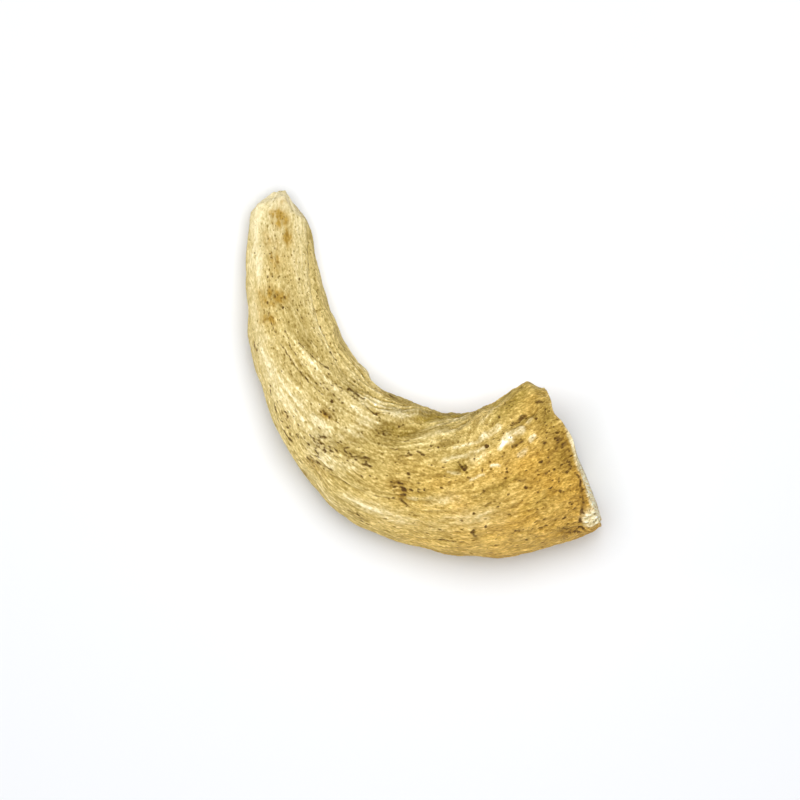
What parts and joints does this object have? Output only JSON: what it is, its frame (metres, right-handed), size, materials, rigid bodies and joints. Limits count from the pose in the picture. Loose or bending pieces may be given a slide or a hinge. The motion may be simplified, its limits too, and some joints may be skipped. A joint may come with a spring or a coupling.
{
  "type": "buffalo horn core",
  "caption": "Bone core of a buffalo horn, bent like a crook, with a broken blunt tip and a flat cut base that shows its spongy inside.",
  "frame": {"origin": "on the surface that the core lies on, under the middle of its box", "axes": "+Z up from that surface; the core lies on its side, and seen from above +X runs to the right, towards the cut base, and +Y up, towards the broken tip"},
  "size_m": [0.1791, 0.184, 0.0764],
  "materials": {
    "bone": "dry bleached bone, matte and porous, cream at the tip and amber at the base"
  },
  "bodies": {
    "root": {"horn_core": "bone"}
  },
  "joints": []
}
